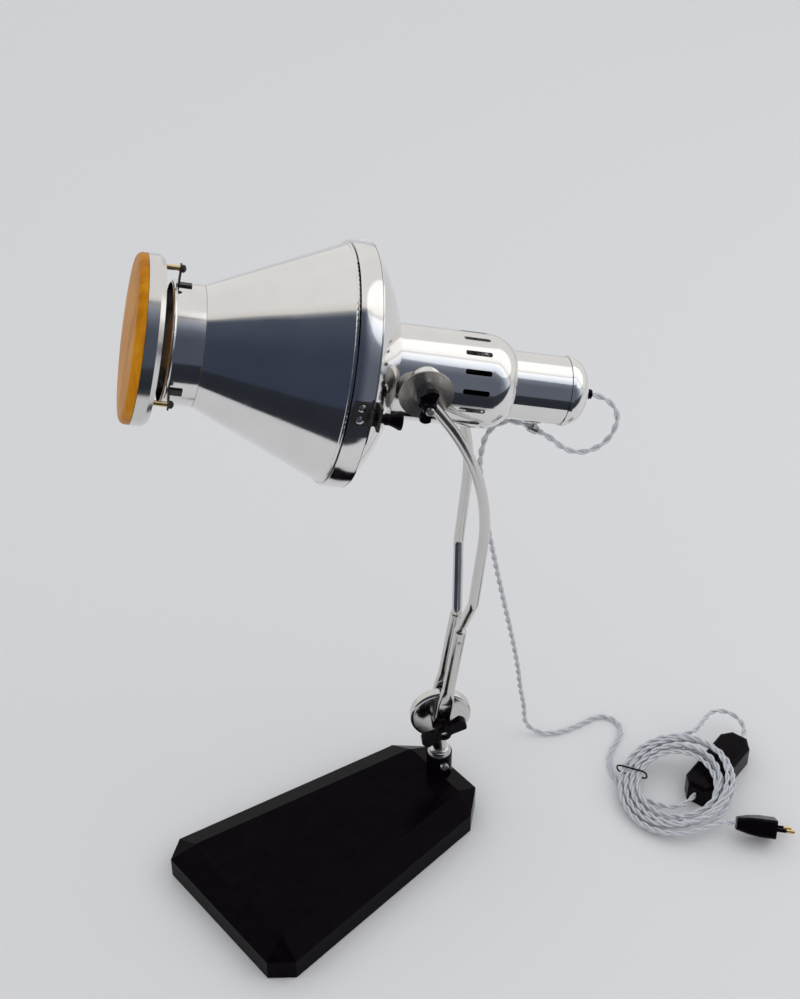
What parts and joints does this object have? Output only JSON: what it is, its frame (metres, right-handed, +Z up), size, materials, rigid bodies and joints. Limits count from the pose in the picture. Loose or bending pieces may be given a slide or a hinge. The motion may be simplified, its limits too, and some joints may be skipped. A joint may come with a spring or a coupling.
{
  "type": "tabletop searchlight lamp",
  "caption": "Tabletop searchlight lamp: tapered cast base, swivel stem, forked tube arm, vented reflector head whose cone front opens on a hinge, amber filter, cord with switch and plug.",
  "frame": {"origin": "middle of the underside of the base, on the surface it stands on", "axes": "+Z up, -Y towards the wide front edge of the base, +X to the right for someone who looks along +Y from in front of it"},
  "size_m": [0.4942, 0.5946, 0.6637],
  "materials": {
    "base_enamel": "glossy black enamel",
    "felt": "dense felt",
    "steel_plate": "matt black",
    "plain_steel": "plain steel",
    "nickel": "polished nickel plate",
    "polished_aluminium": "polished",
    "grey_steel": "darkened steel, satin",
    "black_steel": "satin black",
    "black_moulded": "phenolic moulding, glossy",
    "brass": "polished",
    "bulb_glass": "opal glass",
    "amber_glass": "moulded amber glass",
    "cord_cloth": "two twisted cores in light grey cloth",
    "ring_metal": "satin"
  },
  "bodies": {
    "base": {"base_casting": "base_enamel", "base_plate": "steel_plate", "base_plate_screws": "plain_steel", "base_felt": "felt", "stem_set_screw": "plain_steel", "stem_washer": "plain_steel", "cord_drop": "cord_cloth", "cord_coil": "cord_cloth", "cord_lead": "cord_cloth", "cord_plug_end": "cord_cloth", "cord_tie": "black_moulded", "switch_case_lower": "black_moulded", "switch_case_upper": "black_moulded", "plug_body": "black_moulded", "plug_sleeves": "black_moulded", "plug_prongs": "brass"},
    "stem": {"stem_knuckle": "nickel", "stem_retainer": "plain_steel"},
    "arm": {"sleeve_near": "nickel", "sleeve_far": "nickel", "fork_leg_near": "nickel", "fork_leg_far": "nickel", "sleeve_screws": "plain_steel", "lower_bolt": "plain_steel", "lower_washers": "plain_steel"},
    "lower_knob": {"lower_wing_knob": "black_moulded", "lower_knob_insert": "brass"},
    "head": {"housing_tube": "polished_aluminium", "reflector_dome": "polished_aluminium", "rear_tube": "polished_aluminium", "rear_cap": "polished_aluminium", "cord_gland": "black_moulded", "socket_plate": "plain_steel", "lamp_socket": "black_moulded", "bulb_cap": "brass", "lamp_bulb": "bulb_glass", "pivot_saddles": "polished_aluminium", "friction_cups": "grey_steel", "pivot_studs": "plain_steel", "cord_clip": "plain_steel", "cord_clip_screw": "black_steel", "clasp_lug": "black_steel", "rear_hinge_leaf": "polished_aluminium", "cord_tail": "cord_cloth"},
    "upper_knob_near": {"wing_nut_near": "black_moulded"},
    "upper_knob_far": {"wing_nut_far": "black_moulded"},
    "front": {"front_cone": "polished_aluminium", "front_band": "polished_aluminium", "nose_collar": "polished_aluminium", "filter_ring": "ring_metal", "amber_filter": "amber_glass", "filter_pins": "brass", "filter_pin_nuts": "black_steel", "filter_brackets": "black_steel", "front_hinge_leaf": "polished_aluminium", "hinge_pin": "plain_steel", "clasp_plate": "black_steel", "clasp_rivets": "plain_steel"},
    "clasp_knob": {"clasp_knob": "black_moulded"},
    "rocker": {"switch_rocker": "black_moulded"}
  },
  "joints": [
    {"name": "stem_swivel", "type": "hinge", "parent": "base", "child": "stem", "pos_m": [0, 0.132, 0.06], "axis": [0, 0, 1], "range_deg": [-120, 120], "deforming": ["cord_drop"]},
    {"name": "arm_tilt", "type": "hinge", "parent": "stem", "child": "arm", "pos_m": [0, 0.132, 0.1156], "axis": [0.8462, -0.5329, 0], "range_deg": [-20, 35], "deforming": ["cord_drop"]},
    {"name": "head_tilt", "type": "hinge", "parent": "arm", "child": "head", "pos_m": [-0.01293, 0.11146, 0.5469], "axis": [0.8462, -0.5329, 0], "range_deg": [-60, 45], "deforming": ["cord_drop"]},
    {"name": "front_hinge", "type": "hinge", "parent": "head", "child": "front", "pos_m": [-0.10638, 0.1212, 0.61849], "axis": [-0.6357, 0.1967, -0.7464], "range_deg": [0, 95]},
    {"name": "lower_knob_turn", "type": "hinge", "parent": "arm", "child": "lower_knob", "pos_m": [0.02116, 0.11868, 0.1156], "axis": [0.8462, -0.5329, 0], "continuous": true},
    {"name": "upper_knob_near_turn", "type": "hinge", "parent": "arm", "child": "upper_knob_near", "pos_m": [0.04376, 0.07576, 0.5469], "axis": [0.8462, -0.5329, 0], "continuous": true},
    {"name": "upper_knob_far_turn", "type": "hinge", "parent": "arm", "child": "upper_knob_far", "pos_m": [-0.05694, 0.13917, 0.5469], "axis": [-0.8462, 0.5329, 0], "continuous": true},
    {"name": "clasp_knob_turn", "type": "hinge", "parent": "head", "child": "clasp_knob", "pos_m": [0.05933, 0.0188, 0.56965], "axis": [0.5192, 0.8245, -0.225], "continuous": true},
    {"name": "rocker_turn", "type": "hinge", "parent": "base", "child": "rocker", "pos_m": [0.1715, 0.374, 0.0206], "axis": [-0.9703, -0.2419, 0], "range_deg": [-8, 8]}
  ]
}
